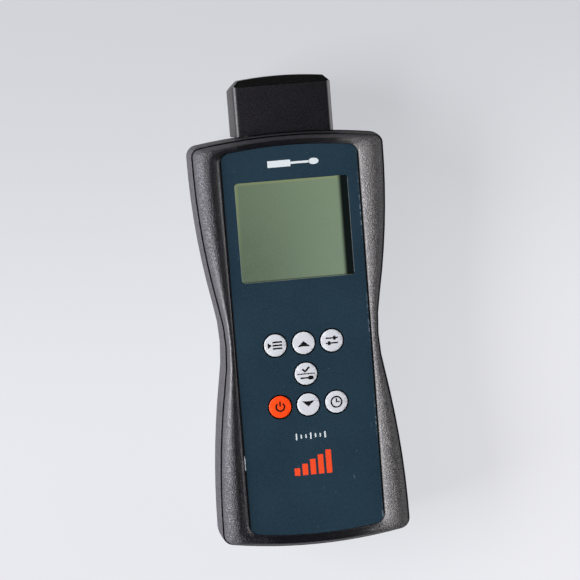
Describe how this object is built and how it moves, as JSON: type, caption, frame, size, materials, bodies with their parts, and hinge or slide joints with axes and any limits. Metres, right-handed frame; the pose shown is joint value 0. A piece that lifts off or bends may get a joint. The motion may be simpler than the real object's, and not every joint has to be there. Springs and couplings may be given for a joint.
{
  "type": "hygiene swab light meter",
  "caption": "Waisted handheld light meter with a display, a field of round keys, a pull-off dark cap over its swab well, and a sliding battery door.",
  "frame": {"origin": "under the middle of the whole object, on the surface that its back lies on", "axes": "+X across the front to the right as seen from the front, +Y along the case towards the cap, +Z out of the display"},
  "size_m": [0.078, 0.188, 0.0372],
  "materials": {
    "case_plastic": "fine spark texture",
    "cap_plastic": "satin",
    "printed_panel": "satin printed sheet",
    "black_trim": "matt",
    "display": "reflective liquid crystal",
    "white_plastic": "matt",
    "circuit_board": "solder mask",
    "chip_plastic": "matt",
    "white_key": "satin",
    "power_key": "satin",
    "inner_black": "matt",
    "clear_window": "polished",
    "sensor_metal": "plated",
    "foam": "open foam",
    "cell_wrap": "shrink wrap",
    "spring_steel": "nickel plate",
    "plated_contact": "nickel plate",
    "screw_steel": "zinc plate"
  },
  "bodies": {
    "case": {"front_shell": "case_plastic", "rear_shell": "case_plastic", "front_panel": "printed_panel", "display_mask": "black_trim", "display_glass": "display", "light_guide": "white_plastic", "main_board": "circuit_board", "board_chips": "chip_plastic", "beeper": "chip_plastic", "switch_housings": "chip_plastic", "swab_tube": "inner_black", "sensor_housing": "inner_black", "sensor_window": "clear_window", "light_sensor": "sensor_metal", "battery_cells": "cell_wrap", "battery_springs": "spring_steel", "spring_plate": "plated_contact", "contact_plate": "plated_contact", "case_screws": "screw_steel", "board_screws": "screw_steel"},
    "cap": {"dark_cap": "cap_plastic", "cap_pad": "foam"},
    "door": {"battery_door": "case_plastic"},
    "key_select": {"key_select": "white_key", "plunger_select": "chip_plastic"},
    "key_up_arrow": {"key_up_arrow": "white_key", "plunger_up_arrow": "chip_plastic"},
    "key_set": {"key_set": "white_key", "plunger_set": "chip_plastic"},
    "key_enter": {"key_enter": "white_key", "plunger_enter": "chip_plastic"},
    "key_power": {"key_power": "power_key", "plunger_power": "chip_plastic"},
    "key_down_arrow": {"key_down_arrow": "white_key", "plunger_down_arrow": "chip_plastic"},
    "key_time": {"key_time": "white_key", "plunger_time": "chip_plastic"}
  },
  "joints": [
    {"name": "cap_slide", "type": "slide", "parent": "case", "child": "cap", "axis": [0, 1, 0], "range_m": [0, 0.026]},
    {"name": "door_slide", "type": "slide", "parent": "case", "child": "door", "axis": [0, -1, 0], "range_m": [0, 0.05]},
    {"name": "press_select", "type": "slide", "parent": "case", "child": "key_select", "axis": [0, 0, -1], "range_m": [0, 0.0005], "stiffness_N_per_m": 400, "springref_m": -0.0005},
    {"name": "press_up_arrow", "type": "slide", "parent": "case", "child": "key_up_arrow", "axis": [0, 0, -1], "range_m": [0, 0.0005], "stiffness_N_per_m": 400, "springref_m": -0.0005},
    {"name": "press_set", "type": "slide", "parent": "case", "child": "key_set", "axis": [0, 0, -1], "range_m": [0, 0.0005], "stiffness_N_per_m": 400, "springref_m": -0.0005},
    {"name": "press_enter", "type": "slide", "parent": "case", "child": "key_enter", "axis": [0, 0, -1], "range_m": [0, 0.0005], "stiffness_N_per_m": 400, "springref_m": -0.0005},
    {"name": "press_power", "type": "slide", "parent": "case", "child": "key_power", "axis": [0, 0, -1], "range_m": [0, 0.0005], "stiffness_N_per_m": 400, "springref_m": -0.0005},
    {"name": "press_down_arrow", "type": "slide", "parent": "case", "child": "key_down_arrow", "axis": [0, 0, -1], "range_m": [0, 0.0005], "stiffness_N_per_m": 400, "springref_m": -0.0005},
    {"name": "press_time", "type": "slide", "parent": "case", "child": "key_time", "axis": [0, 0, -1], "range_m": [0, 0.0005], "stiffness_N_per_m": 400, "springref_m": -0.0005}
  ]
}
